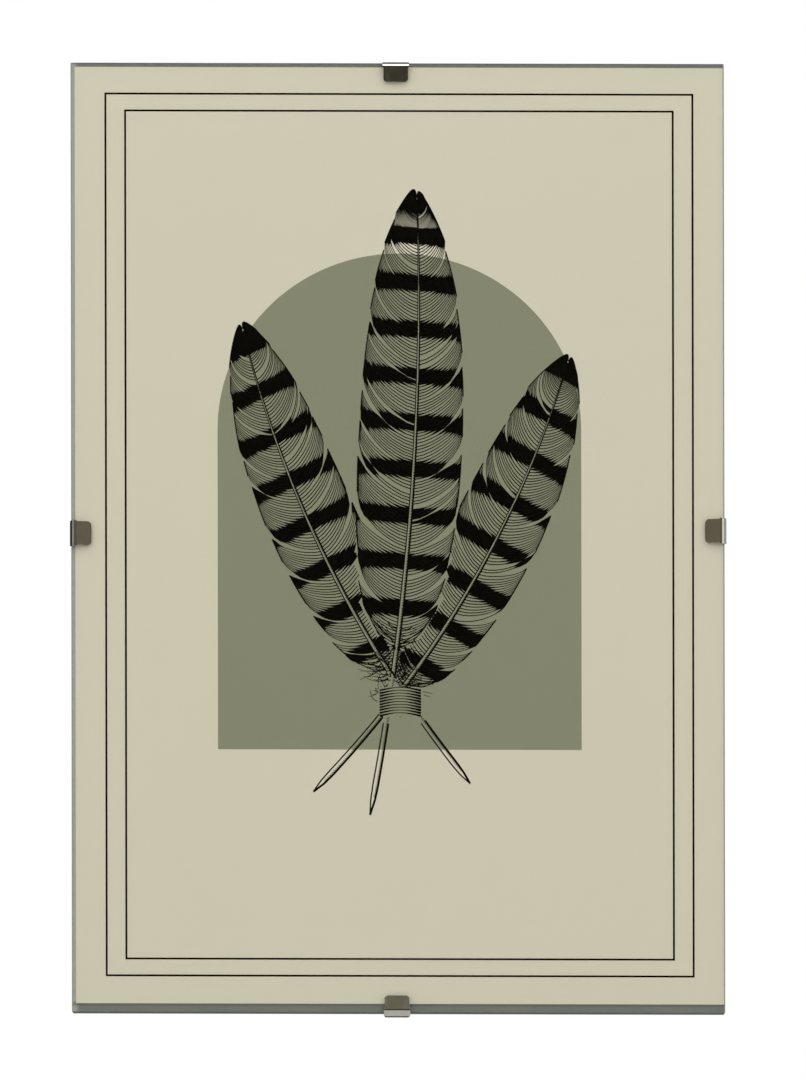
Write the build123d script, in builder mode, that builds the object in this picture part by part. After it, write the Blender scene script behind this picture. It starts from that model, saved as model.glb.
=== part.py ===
from build123d import *

import math
import os

# Frameless picture frame. A glass pane, a printed sheet and a hardboard back lie on each other,
# and four spring clips pinch them together at the middle of each side. Four ring hangers are
# riveted to the back, two for a tall picture and two for a wide one.
#
# Millimetres. The picture faces -Y, +X is on the right of someone who looks at it, +Z is up.
# The origin lies on the wall plane, behind the centre of the glass. Depths count from the wall.

# Glass pane
glass_width = 600.0
glass_height = 900.0
glass_thickness = 2.0
glass_top_corner_radius = 1.0
glass_bottom_corner_radius = 2.4
glass_arris = 0.8

# Printed sheet, the play in front of it, and the bare glass beyond each of its edges
sheet_thickness = 0.3
sheet_play = 0.1
sheet_margin_left = 3.7
sheet_margin_right = 0.6
sheet_margin_top = 3.8
sheet_margin_bottom = 9.2

# Hardboard back, a little smaller than the glass
board_thickness = 3.2
board_setback = 0.5
board_corner_radius = 1.6

# Spring clip, bent from one strip: lip on the glass, roll, web, heel, leg on the board
clip_thickness = 0.8
clip_width = 24.4
clip_reach = 19.9
clip_lip_width = 22.8
clip_shoulder = 4.6
clip_corner_radius = 3.6
clip_tip_bow = 0.5
clip_nose_height = 3.5
clip_roll_radius = 4.8
clip_flare_length = 1.2
clip_flare_rise = 0.25
clip_flare_radius = 2.0
clip_heel_depth = 2.4
clip_heel_width = 20.0
clip_heel_radius = 1.8
clip_leg_reach = 27.0
clip_leg_width = 15.0
clip_leg_corner_radius = 3.0
clip_leg_turn_length = 3.6
clip_leg_turn_rise = 1.6
clip_leg_turn_radius = 2.4
clip_grip_clearance = 0.05

# Where each clip sits: its shift along the side, and the gap between its web and the glass
clip_top_shift = -1.3
clip_bottom_shift = -1.4
clip_left_shift = 3.7
clip_right_shift = 7.2
clip_top_gap = 0.3
clip_bottom_gap = 1.7
clip_left_gap = 0.3
clip_right_gap = 1.0

# Hanger strap, folded in two around the ring's straight side
strap_thickness = 0.8
strap_fold_gap = 0.05
strap_width = 12.0
strap_knuckle_width = 9.6
strap_length = 23.5
strap_throat_angle = 60.0
strap_throat_radius = 1.2
strap_hole_clearance = 0.1

# Hanger ring, bent from wire to a D
ring_wire = 2.4
ring_width = 18.4
ring_depth = 14.6
ring_corner_radius = 2.2
ring_play = 0.1
ring_rest_gap = 0.15

# Rivet and washer that hold a strap to the board
rivet_diameter = 4.0
rivet_head_diameter = 6.8
rivet_head_height = 1.3
rivet_rim_height = 0.4
rivet_tail_diameter = 5.6
rivet_tail_height = 0.8
rivet_hole_clearance = 0.1
washer_diameter = 9.0
washer_thickness = 0.5
pocket_depth = 1.6
pocket_clearance = 0.3

# Where the hangers sit: each pair's spacing, and its knuckles' distance from the nearest edge
tall_pair_spacing = 300.0
tall_pair_inset = 42.0
wide_pair_spacing = 450.0
wide_pair_inset = 42.0

# Shares, and how far a cut runs past what it cuts
ring_round_share = 0.94
overrun = 2.0

# Depths from the wall
strap_stack = 2 * strap_thickness + strap_fold_gap
knuckle_bore_radius = ring_wire / 2 + ring_play
knuckle_radius = knuckle_bore_radius + strap_thickness
board_back_depth = 2 * knuckle_radius
board_front_depth = board_back_depth + board_thickness
glass_back_depth = board_front_depth + sheet_thickness + sheet_play
glass_front_depth = glass_back_depth + glass_thickness
stack_thickness = glass_front_depth - board_back_depth

forward = Vector(0, -1, 0)
backward = Vector(0, 1, 0)
up = Vector(0, 0, 1)
right = Vector(1, 0, 0)


def save(part, name):
    """Labels a finished piece and writes it to its own file."""
    part.label = name
    export_step(part, f"parts/{name}.step")
    print(name, round(part.volume))


def at_depth(depth):
    """The point on the frame's middle line at this depth from the wall."""
    return forward * depth


def make_glass():
    """Float glass with ground corners and a ground arris on all edges."""
    with BuildPart() as front_glass:
        with BuildSketch(Plane.XZ.offset(glass_back_depth)) as outline:
            Rectangle(glass_width, glass_height)
            low_corners, high_corners = outline.vertices().group_by(Axis.Y)
            fillet(low_corners, radius=glass_bottom_corner_radius)
            fillet(high_corners, radius=glass_top_corner_radius)
        extrude(amount=glass_thickness)
        faces = front_glass.faces().sort_by(Axis.Y)
        chamfer(faces[0].edges() + faces[-1].edges(), length=glass_arris)
    save(front_glass.part, "front_glass")


def make_sheet():
    """The printed sheet, cut smaller than the glass and lying off its centre."""
    width = glass_width - sheet_margin_left - sheet_margin_right
    height = glass_height - sheet_margin_top - sheet_margin_bottom
    centre_x = (sheet_margin_left - sheet_margin_right) / 2
    centre_z = (sheet_margin_bottom - sheet_margin_top) / 2
    with BuildPart() as print_sheet:
        with BuildSketch(Plane.XZ.offset(board_front_depth)):
            with Locations((centre_x, centre_z)):
                Rectangle(width, height)
        extrude(amount=sheet_thickness)
    save(print_sheet.part, "print_sheet")


def hanger_places():
    """Each hanger's name, knuckle centre on the board's back, and direction towards its rivet."""
    tall_z = glass_height / 2 - tall_pair_inset
    wide_x = glass_width / 2 - wide_pair_inset
    on_board = at_depth(board_back_depth)
    return (
        ("top_left", on_board + up * tall_z - right * (tall_pair_spacing / 2), up * -1),
        ("top_right", on_board + up * tall_z + right * (tall_pair_spacing / 2), up * -1),
        ("side_upper", on_board + right * wide_x + up * (wide_pair_spacing / 2), right * -1),
        ("side_lower", on_board + right * wide_x - up * (wide_pair_spacing / 2), right * -1),
    )


rivet_offset = strap_length - strap_width / 2
rivet_hole_radius = rivet_diameter / 2 + rivet_hole_clearance


def make_board():
    """Hardboard back with a rivet hole for each hanger, pocketed from the front for its washer."""
    with BuildPart() as back_board:
        with BuildSketch(Plane.XZ.offset(board_back_depth)):
            RectangleRounded(
                glass_width - 2 * board_setback,
                glass_height - 2 * board_setback,
                board_corner_radius,
            )
        extrude(amount=board_thickness)
        for _, knuckle, inward in hanger_places():
            on_front = knuckle + inward * rivet_offset + forward * board_thickness
            with Locations(Plane(origin=on_front, z_dir=forward)):
                CounterBoreHole(
                    radius=rivet_hole_radius,
                    counter_bore_radius=washer_diameter / 2 + pocket_clearance,
                    counter_bore_depth=pocket_depth,
                )
    save(back_board.part, "back_board")


def make_clip(name, outward, half_size, shift, gap):
    """One spring clip. Its section is drawn with x outward from the glass edge, y forward."""
    corner = outward * half_size + shift + at_depth(glass_front_depth)
    section = Plane(origin=corner, x_dir=outward, z_dir=outward.cross(forward))
    plan = Plane(origin=corner - forward * (stack_thickness / 2), x_dir=outward, z_dir=forward)
    web_x = gap + clip_thickness / 2
    tip_x = gap + clip_thickness - clip_reach
    leg_x = gap + clip_thickness - clip_leg_reach
    lip_y = clip_grip_clearance + clip_thickness / 2
    leg_y = -stack_thickness - lip_y
    with BuildPart() as clip:
        with BuildSketch(section):
            with BuildLine():
                FilletPolyline(
                    (tip_x, lip_y + clip_flare_rise),
                    (tip_x + clip_flare_length, lip_y),
                    (web_x, clip_nose_height),
                    (web_x, -stack_thickness - clip_heel_depth),
                    (leg_x + clip_leg_turn_length, leg_y),
                    (leg_x, leg_y - clip_leg_turn_rise),
                    radius=[
                        clip_flare_radius,
                        clip_roll_radius,
                        clip_heel_radius,
                        clip_leg_turn_radius,
                    ],
                )
            trace(line_width=clip_thickness)
        extrude(amount=clip_width / 2, both=True)
        shoulder_x = gap + clip_thickness - clip_shoulder
        trim(plan, tip_x, shoulder_x, clip_lip_width, clip_corner_radius, clip_tip_bow, 1)
        trim(plan, leg_x, shoulder_x, clip_leg_width, clip_leg_corner_radius, clip_tip_bow, -1)
        side_plan = Plane(
            origin=corner + outward * shoulder_x,
            x_dir=forward.cross(outward),
            z_dir=outward,
        )
        taper(side_plan)
    save(clip.part, name)


def trim(plan, end_x, shoulder_x, width, corner_radius, bow, side):
    """Cuts the strip on one side of the plan plane down to a narrower tongue with a round end."""
    with BuildSketch(plan) as tongue:
        with BuildLine():
            end = ThreePointArc((end_x, -width / 2), (end_x - bow, 0), (end_x, width / 2))
            Polyline(end @ 1, (shoulder_x, width / 2), (shoulder_x, -width / 2), end @ 0)
        make_face()
        fillet(tongue.vertices().group_by(Axis.X)[0], radius=corner_radius)
    with BuildSketch(plan) as waste:
        with Locations((shoulder_x, 0)):
            Rectangle(
                shoulder_x - end_x + bow + overrun,
                clip_width + overrun,
                align=(Align.MAX, Align.CENTER),
            )
        add(tongue.sketch_local, mode=Mode.SUBTRACT)
    extrude(waste.sketch, amount=side * (stack_thickness + clip_reach), mode=Mode.SUBTRACT)


def taper(side_plan):
    """Narrows the web towards its heel. The plan's y points forward from the glass front."""
    depth = stack_thickness + clip_heel_depth + clip_thickness
    front_half = clip_width / 2
    with BuildSketch(side_plan) as waste:
        with BuildLine():
            Polyline(
                (front_half, 0),
                (front_half + overrun, 0),
                (front_half + overrun, -depth),
                (clip_heel_width / 2, -depth),
                close=True,
            )
        make_face()
        mirror(about=Plane.YZ)
    extrude(waste.sketch, amount=clip_reach, mode=Mode.SUBTRACT)


def make_strap(name, knuckle, inward):
    """Strap folded around the ring wire. Section: x towards the rivet, y away from the board."""
    section = Plane(origin=knuckle, x_dir=inward, z_dir=inward.cross(backward))
    plan = Plane(origin=knuckle, x_dir=inward, z_dir=backward)
    lower_y = strap_thickness / 2
    upper_y = strap_stack - strap_thickness / 2
    loop_radius = knuckle_radius - strap_thickness / 2
    with BuildPart() as strap:
        with BuildSketch(section):
            with BuildLine():
                Line((strap_length, lower_y), (0, lower_y))
                loop = CenterArc(
                    center=(0, knuckle_radius),
                    radius=loop_radius,
                    start_angle=-90,
                    arc_size=-180 - strap_throat_angle,
                )
                drop = (loop @ 1).Y - upper_y
                throat_x = (loop @ 1).X + drop / math.tan(math.radians(strap_throat_angle))
                FilletPolyline(
                    loop @ 1,
                    (throat_x, upper_y),
                    (strap_length, upper_y),
                    radius=strap_throat_radius,
                )
            trace(line_width=strap_thickness)
        extrude(amount=strap_width / 2, both=True)
        with BuildSketch(plan):
            with BuildLine():
                Polyline(
                    (-knuckle_radius - overrun, -strap_knuckle_width / 2),
                    (knuckle_radius + strap_stack, -strap_knuckle_width / 2),
                    (rivet_offset - strap_width / 2, -strap_width / 2),
                    (rivet_offset, -strap_width / 2),
                    (rivet_offset, strap_width / 2),
                    (rivet_offset - strap_width / 2, strap_width / 2),
                    (knuckle_radius + strap_stack, strap_knuckle_width / 2),
                    (-knuckle_radius - overrun, strap_knuckle_width / 2),
                    close=True,
                )
            make_face()
            with Locations((rivet_offset, 0)):
                Circle(strap_width / 2)
                Circle(rivet_diameter / 2 + strap_hole_clearance, mode=Mode.SUBTRACT)
        extrude(amount=2 * knuckle_radius, mode=Mode.INTERSECT)
    save(strap.part, name)


def make_ring(name, knuckle, inward):
    """Wire ring, folded back over the strap. Its straight side turns in the strap's knuckle."""
    length = ring_depth - ring_wire
    half_width = (ring_width - ring_wire) / 2
    end_height = strap_stack + ring_rest_gap + ring_wire / 2
    lean = math.asin((end_height - knuckle_radius) / length)
    along = inward.cross(backward)
    reach = inward * math.cos(lean) + backward * math.sin(lean)
    centre = knuckle + backward * knuckle_radius
    round_radius = ring_round_share * min(half_width, length - ring_corner_radius)
    with BuildPart() as ring:
        with BuildLine(Plane(origin=centre, x_dir=along, z_dir=along.cross(reach))) as bend:
            FilletPolyline(
                (-half_width, 0),
                (half_width, 0),
                (half_width, length),
                (-half_width, length),
                radius=[ring_corner_radius, ring_corner_radius, round_radius, round_radius],
                close=True,
            )
        with BuildSketch(Plane(origin=bend.line @ 0, z_dir=bend.line % 0)):
            Circle(ring_wire / 2)
        sweep(path=bend.line)
    wire_length = sum(edge.length for edge in bend.edges())
    wire_volume = math.pi * (ring_wire / 2) ** 2 * wire_length
    print(name, "volume over section times length", round(ring.part.volume / wire_volume, 4))
    save(ring.part, name)


def make_rivet(name, knuckle, inward):
    """Solid rivet: domed head on the strap, shank through the board, tail flattened on the washer."""
    centre = knuckle + inward * rivet_offset
    section = Plane(origin=centre, x_dir=inward, z_dir=inward.cross(backward))
    washer_front = -(board_thickness - pocket_depth) - washer_thickness
    shank = rivet_diameter / 2
    tail = rivet_tail_diameter / 2
    head = rivet_head_diameter / 2
    with BuildPart() as rivet:
        with BuildSketch(section):
            with BuildLine():
                dome = TangentArc(
                    (0, strap_stack + rivet_head_height),
                    (head, strap_stack + rivet_rim_height),
                    tangent=(1, 0),
                )
                Polyline(
                    dome @ 1,
                    (head, strap_stack),
                    (shank, strap_stack),
                    (shank, washer_front),
                    (tail, washer_front),
                    (tail, washer_front - rivet_tail_height),
                    (0, washer_front - rivet_tail_height),
                    dome @ 0,
                )
            make_face()
        revolve(axis=Axis(centre, backward))
    save(rivet.part, name)


def make_washer(name, knuckle, inward):
    """Washer under the rivet's tail, in the pocket on the board's front."""
    centre = knuckle + inward * rivet_offset + forward * (board_thickness - pocket_depth)
    with BuildPart() as washer:
        with BuildSketch(Plane(origin=centre, z_dir=forward)):
            Circle(washer_diameter / 2)
            Circle(rivet_hole_radius, mode=Mode.SUBTRACT)
        extrude(amount=washer_thickness)
    save(washer.part, name)


os.makedirs("parts", exist_ok=True)
make_glass()
make_sheet()
make_board()
make_clip("clip_top", up, glass_height / 2, right * clip_top_shift, clip_top_gap)
make_clip("clip_bottom", up * -1, glass_height / 2, right * clip_bottom_shift, clip_bottom_gap)
make_clip("clip_left", right * -1, glass_width / 2, up * clip_left_shift, clip_left_gap)
make_clip("clip_right", right, glass_width / 2, up * clip_right_shift, clip_right_gap)
for place, knuckle, inward in hanger_places():
    make_strap(f"hanger_strap_{place}", knuckle, inward)
    make_ring(f"hanger_ring_{place}", knuckle, inward)
    make_rivet(f"hanger_rivet_{place}", knuckle, inward)
    make_washer(f"hanger_washer_{place}", knuckle, inward)
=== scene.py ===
"""Dresses the CAD model of a frameless picture frame: glass, printed sheet, hardboard back,
spring clips and ring hangers. Metres. The picture faces -Y, +X is on its right, +Z is up."""

import math
import random
from functools import partial, reduce

import bmesh
import bpy
from bpy.props import FloatProperty, FloatVectorProperty, IntProperty, PointerProperty
from mathutils import Euler, Matrix, Vector


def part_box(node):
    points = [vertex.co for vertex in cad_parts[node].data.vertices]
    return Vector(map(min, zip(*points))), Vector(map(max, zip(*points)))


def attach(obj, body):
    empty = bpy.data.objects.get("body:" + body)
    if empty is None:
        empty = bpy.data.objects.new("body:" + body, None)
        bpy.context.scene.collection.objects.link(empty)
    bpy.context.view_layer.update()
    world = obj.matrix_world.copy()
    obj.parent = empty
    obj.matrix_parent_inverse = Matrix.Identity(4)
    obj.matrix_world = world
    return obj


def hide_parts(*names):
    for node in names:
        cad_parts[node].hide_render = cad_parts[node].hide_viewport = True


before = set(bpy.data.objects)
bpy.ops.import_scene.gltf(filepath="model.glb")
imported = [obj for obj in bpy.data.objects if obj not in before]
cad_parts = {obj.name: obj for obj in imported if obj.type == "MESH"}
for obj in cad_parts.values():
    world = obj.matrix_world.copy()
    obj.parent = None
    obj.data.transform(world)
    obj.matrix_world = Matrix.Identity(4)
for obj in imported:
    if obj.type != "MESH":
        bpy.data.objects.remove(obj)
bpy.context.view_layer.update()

bl_info = {
    "name": "Clip Frame",
    "version": (1, 0, 0),
    "blender": (4, 5, 0),
    "location": "View3D > Sidebar > Clip Frame",
    "description": "Builds the visible pieces of a clip frame around its CAD model",
    "category": "Object",
}

MM = 0.001
BODY = "frame"

GLASS_LOW, GLASS_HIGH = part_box("front_glass")
SHEET_LOW, SHEET_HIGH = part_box("print_sheet")
BOARD_LOW, BOARD_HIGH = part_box("back_board")

# Glass: painted light on its ground edges at the left and right, their chips, and what they let
# through
PAINTED_SIDE_LIGHT, CHIP, HAZE = (0.235, 0.245, 0.225), (0.3, 0.33, 0.31), (0.7, 0.74, 0.71)
# Sheet: painted shade along its right edge
RIGHT_EDGE_SHADE = (0.24, 0.23, 0.19)
# Board: duller patches of its front, painted light on the front to the left of the sheet and a
# painted shadow below it, its cut edges, and pale fibres and stains in its back
PATCH, LEFT_PAINTED_LIGHT, SHADOW_BELOW_SHEET = (0.186, 0.186, 0.16), (0.426, 0.416, 0.366), (0.11, 0.11, 0.085)
RIM, FLECK, STAIN = (0.06, 0.06, 0.045), (0.33, 0.24, 0.15), (0.1, 0.07, 0.045)
# Stage: the floor, and the dark card behind the foot of the frame
PALE, DARK, WHITE = (0.6, 0.6, 0.59), (0.01, 0.01, 0.01), (1.0, 1.0, 1.0)

# Ink lies in the air between the sheet and the glass: depth of each layer's back, and its thickness
OLIVE_OFF, OLIVE_THICK = 0.004 * MM, 0.016 * MM
BLACK_OFF, BLACK_THICK = 0.026 * MM, 0.034 * MM

# Each clip's outward direction on its edge
CLIPS = {
    "clip_top": Vector((0, 0, 1)),
    "clip_bottom": Vector((0, 0, -1)),
    "clip_left": Vector((-1, 0, 0)),
    "clip_right": Vector((1, 0, 0)),
}
HANGERS = ("top_left", "top_right", "side_upper", "side_lower")
FORWARD = Vector((0, -1, 0))


def length(name, default, description):
    """A size property in metres, written in millimetres."""
    return FloatProperty(
        name=name, description=description, default=default * MM, min=0, precision=5, unit="LENGTH"
    )


def colour(name, default, description):
    """A colour property in linear light."""
    return FloatVectorProperty(
        name=name, description=description, default=default, min=0, max=1, size=3, subtype="COLOR"
    )


def angle(name, default, description):
    """An angle property, written in degrees."""
    return FloatProperty(
        name=name, description=description, default=math.radians(default), subtype="ANGLE"
    )


class GlassSettings(bpy.types.PropertyGroup):
    """The pane."""

    top_corner: length("Top corner", 1.0, "Radius of the upper corners")
    bottom_corner: length("Bottom corner", 2.4, "Radius of the lower corners")
    arris: length("Arris", 0.8, "Width of the ground arris on all edges")
    tint: colour("Tint", (0.985, 0.995, 0.99), "What the pane lets through")
    ground: colour("Ground edge", (0.115, 0.125, 0.107), "The ground edges")


class PrintSettings(bpy.types.PropertyGroup):
    """The sheet and what is printed on it."""

    paper: colour("Paper", (0.684, 0.626, 0.488), "The sheet")
    olive: colour("Olive", (0.262, 0.258, 0.174), "The arched field")
    black: colour("Black", (0.003, 0.002, 0.0005), "Lines and feathers")
    line: length("Line", 1.8, "Thickness of the border lines")
    outer_side: length("Outer inset, sides", 27.4, "From the sheet's edge to the outer border")
    outer_end: length("Outer inset, ends", 24.95, "From the sheet's edge to the outer border")
    inner_side: length("Inner inset, sides", 45.5, "From the sheet's edge to the inner border")
    inner_end: length("Inner inset, ends", 40.95, "From the sheet's edge to the inner border")
    rise: length("Rise", 0.6, "How far above the sheet's middle the borders sit")
    arch_width: length("Arch width", 334.0, "Width of the arched field")
    arch_height: length("Arch height", 470.0, "Height of the arched field")
    barb_step: length("Barb step", 3.0, "Distance between the barbs of a feather")
    seed: IntProperty(name="Seed", description="Changes how the barbs part", default=7)


class ClipSettings(bpy.types.PropertyGroup):
    """The spring clips, as in the CAD model."""

    thickness: length("Thickness", 0.8, "Of the strip")
    width: length("Width", 24.4, "Of the strip")
    reach: length("Lip reach", 19.9, "From the web's face to the lip's tip")
    lip_width: length("Lip width", 22.8, "Of the lip")
    lip_corner: length("Lip corner", 3.6, "Radius of the lip's corners")
    tip_bow: length("Tip bow", 0.5, "How far the tips bulge")
    shoulder: length("Shoulder", 4.6, "From the web's face to where the lip narrows")
    nose: length("Nose height", 3.5, "Of the roll above the glass")
    roll: length("Roll radius", 4.8, "Of the bend over the edge of the glass")
    flare: length("Flare", 1.2, "Length of the turned-up tip")
    flare_rise: length("Flare rise", 0.25, "Of the turned-up tip")
    flare_bend: length("Flare bend", 2.0, "Radius where the tip turns up")
    heel: length("Heel depth", 2.4, "Of the bend behind the board")
    heel_width: length("Heel width", 20.0, "Of the strip at the heel")
    heel_bend: length("Heel bend", 1.8, "Radius of the heel")
    leg_reach: length("Leg reach", 27.0, "From the web's face to the leg's end")
    leg_width: length("Leg width", 15.0, "Of the leg")
    leg_corner: length("Leg corner", 3.0, "Radius of the leg's corners")
    leg_turn: length("Leg turn", 3.6, "Length of the leg's turned-up end")
    leg_rise: length("Leg rise", 1.6, "Of the leg's turned-up end")
    leg_bend: length("Leg bend", 2.4, "Radius where the leg's end turns up")
    grip: length("Grip clearance", 0.05, "Between the strip and what it grips")
    rim: length("Rim", 0.13, "Rounding of the strip's edges")
    steel: colour("Steel", (0.565, 0.562, 0.515), "Polished nickel plate")


class BackSettings(bpy.types.PropertyGroup):
    """The hardboard and the hangers."""

    front: colour("Board front", (0.164, 0.177, 0.152), "The board's sealed front")
    back: colour("Board back", (0.21, 0.135, 0.08), "The board's screen side")
    screen: length("Screen pitch", 2.2, "Of the wire screen's print in the board's back")
    zinc: colour("Zinc", (0.62, 0.62, 0.61), "Straps and rings")
    rivet: colour("Rivet", (0.5, 0.5, 0.49), "Rivets and washers")


class StageSettings(bpy.types.PropertyGroup):
    """Camera, floor and light."""

    tilt: angle("Tilt", 14.2, "How far the camera looks up")
    turn: angle("Turn", 0.9, "How far the camera stands to the left")
    roll: angle("Roll", 0.09, "How far the camera leans clockwise")
    height: length("View height", 991.8, "What the frame of the picture takes in")
    shift_right: length("Shift right", 4.7, "Of the camera")
    shift_down: length("Shift down", 1.7, "Of the camera")
    distance: length("Distance", 1250.0, "From the pane to the camera")
    floor: length("Floor's drop", 950.0, "Below the middle of the picture")
    floor_back: length("Floor's end", 1300.0, "Behind the picture")
    ambient: FloatProperty(name="Ambient", description="How bright the room is", default=1.135)
    key: FloatProperty(name="Key", description="Power of the lamp", default=9.0, unit="POWER")


def settings(kind):
    """One of the groups above, from the scene."""
    return getattr(bpy.context.scene, f"clip_frame_{kind}")


def feed(made, inputs):
    """Sets inputs of a node, each to a value or to the socket that feeds it."""
    for name, value in inputs.items():
        if isinstance(value, bpy.types.NodeSocket):
            made.id_data.links.new(value, made.inputs[name])
        else:
            made.inputs[name].default_value = value


def node(kind, inputs, **options):
    """Adds a node to the tree of the sockets that feed it."""
    tree = next(v.id_data for v in inputs.values() if isinstance(v, bpy.types.NodeSocket))
    made = tree.nodes.new(kind)
    for name, value in options.items():
        setattr(made, name, value)
    feed(made, inputs)
    return made


def calc(operation, *values):
    """The result of a Math node."""
    return node("ShaderNodeMath", dict(enumerate(values)), operation=operation).outputs[0]


def total(*values):
    """The sum of sockets and numbers."""
    return reduce(partial(calc, "ADD"), values)


def product(*values):
    """The product of sockets and numbers."""
    return reduce(partial(calc, "MULTIPLY"), values)


def apart(vector):
    """The three parts of a vector."""
    return node("ShaderNodeSeparateXYZ", {0: vector}).outputs


def ramp(value, low, high, to_low=0.0, to_high=1.0):
    """value between low and high, mapped smoothly between to_low and to_high."""
    inputs = dict(enumerate((value, low, high, to_low, to_high)))
    return node("ShaderNodeMapRange", inputs, interpolation_type="SMOOTHSTEP").outputs["Result"]


def tone(factor, first, second, mode="MIX"):
    """A mix of two colours, each a socket or three numbers."""
    first, second = (
        c if isinstance(c, bpy.types.NodeSocket) else (*c, 1.0) for c in (first, second)
    )
    options = {"data_type": "RGBA", "blend_type": mode, "clamp_factor": True}
    return node("ShaderNodeMix", {0: factor, 6: first, 7: second}, **options).outputs[2]


def times(base, factor):
    """Three numbers of a colour, lighter or darker."""
    return [c * factor for c in base]


def noise(vector, scale, detail=2.0, rough=0.5, distortion=0.0):
    """The value of a Noise Texture."""
    inputs = {"Vector": vector, "Scale": scale, "Detail": detail}
    inputs |= {"Roughness": rough, "Distortion": distortion}
    return node("ShaderNodeTexNoise", inputs).outputs[0]


def stretched(vector, factors, turn=(0.0, 0.0, 0.0)):
    """vector scaled by factors and turned, in radians."""
    inputs = {"Vector": vector, "Scale": factors, "Rotation": turn}
    return node("ShaderNodeMapping", inputs).outputs[0]


def new_group(name, inputs, outputs):
    """An empty shader group; an input without a number is a vector. Returns its tree and ends."""
    tree = bpy.data.node_groups.new(name, "ShaderNodeTree")
    for label, default in inputs.items():
        kind = "NodeSocketVector" if default is None else "NodeSocketFloat"
        made = tree.interface.new_socket(label, in_out="INPUT", socket_type=kind)
        if default is not None:
            made.default_value = default
    for label in outputs:
        tree.interface.new_socket(label, in_out="OUTPUT", socket_type="NodeSocketFloat")
    return tree, tree.nodes.new("NodeGroupInput").outputs, tree.nodes.new("NodeGroupOutput")


def use_group(name, inputs):
    """A shared group, placed where its inputs come from; returns its outputs."""
    group = bpy.data.node_groups.get(name) or GROUPS[name]()
    return node("ShaderNodeGroup", inputs, node_tree=group).outputs


def mottle_group():
    """Slow patches and fine grain, as one value around 1."""
    inputs = {"Vector": None, "Patch Scale": 7.0, "Patch": 0.012, "Grain Scale": 650.0}
    tree, at, end = new_group("mottle", inputs | {"Grain": 0.015}, ("Value", "Grain"))
    patch = noise(at["Vector"], at["Patch Scale"], 3.0, 0.55)
    grain = noise(at["Vector"], at["Grain Scale"], 4.0, 0.6)
    slow = product(calc("SUBTRACT", patch, 0.5), at["Patch"])
    fine = product(calc("SUBTRACT", grain, 0.5), at["Grain"])
    feed(end, {"Value": total(slow, fine, 1.0), "Grain": grain})
    return tree


# What each plated metal sets in the worn_metal group, and each card in the studio_card group
METAL_GRADES = ("Line Scale", "Smudge Scale", "Gloss", "Smudge", "Wave")
CARD_BOUNDS = ("Left", "Right", "Low", "High")


def metal_group():
    """Rolled or drawn metal: fine lines, smudges from handling and small pits."""
    inputs = {"Vector": None} | dict.fromkeys(METAL_GRADES, 0.5)
    tree, at, end = new_group("worn_metal", inputs, ("Tint", "Roughness", "Height"))
    lines = noise(stretched(at["Vector"], (1.0, 1.0, 0.04)), at["Line Scale"], 3.0)
    smudge = ramp(noise(at["Vector"], at["Smudge Scale"], 4.0, 0.6, 0.6), 0.42, 0.68)
    pits = ramp(noise(at["Vector"], at["Line Scale"], 2.0), 0.66, 0.74)
    swell = noise(at["Vector"], product(at["Smudge Scale"], 0.8), 1.0)
    soiled = product(smudge, at["Smudge"])
    waves = product(swell, at["Wave"])
    results = {
        "Tint": total(1.0, product(smudge, -0.1), product(pits, -0.25)),
        "Roughness": total(at["Gloss"], soiled, product(pits, 0.1)),
        "Height": total(product(lines, 0.05), waves, product(pits, -0.04)),
    }
    feed(end, results)
    return tree


def card_group():
    """A soft-edged patch of the studio, by its directions from the picture, in degrees."""
    inputs = dict.fromkeys(("Azimuth", "Elevation", *CARD_BOUNDS, "Edge"), 0.0)
    tree, at, end = new_group("studio_card", inputs, ("Mask",))
    masks = []
    for seen, low, high in (("Azimuth", "Left", "Right"), ("Elevation", "Low", "High")):
        for side, bound in ((1.0, low), (-1.0, high)):
            inner = product(calc("SUBTRACT", at[seen], at[bound]), side)
            masks.append(ramp(calc("DIVIDE", inner, at["Edge"]), -0.5, 0.5))
    feed(end, {"Mask": product(*masks)})
    return tree


GROUPS = {"mottle": mottle_group, "worn_metal": metal_group, "studio_card": card_group}


def new_material(name):
    """A material with one Principled shader, that shader, and Object coordinates."""
    material = bpy.data.materials.new(name)
    material.use_nodes = True
    tree = material.node_tree
    tree.nodes.clear()
    shader = tree.nodes.new("ShaderNodeBsdfPrincipled")
    node("ShaderNodeOutputMaterial", {"Surface": shader.outputs[0]})
    return material, shader, tree.nodes.new("ShaderNodeTexCoord").outputs["Object"]


def bump(height, depth, strength=1.0):
    """A normal moved by height, depth metres for a height of 1."""
    inputs = {"Height": height, "Distance": depth, "Strength": strength}
    return node("ShaderNodeBump", inputs).outputs[0]


def scaled(base, value):
    """A plain colour times a value that changes over the surface."""
    combined = node("ShaderNodeCombineXYZ", dict.fromkeys(range(3), value)).outputs[0]
    return tone(1.0, base, combined, "MULTIPLY")


def paper_material(name, base, rough, gloss, edge_shade=None):
    """Ink or paper: matt, a little uneven, with fibres; the last colour, if given, is painted shade
    along its right edge.
    """
    material, shader, at = new_material(name)
    mottle = use_group("mottle", {"Vector": at})
    shade = scaled(base, mottle["Value"])
    # Painted shade: the sheet darkens towards its right edge
    if edge_shade is not None:
        edge = SHEET_HIGH.x - 0.1 * MM
        near = ramp(apart(at)[0], edge - 0.8 * MM, edge, 0.0, 0.75)
        shade = tone(near, shade, edge_shade)
    results = {
        "Base Color": shade,
        "Roughness": ramp(mottle["Grain"], 0.2, 0.8, rough - 0.06, rough + 0.06),
        "Specular IOR Level": gloss,
        "Normal": bump(mottle["Grain"], 0.01 * MM, 0.3),
    }
    feed(shader, results)
    return material


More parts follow.
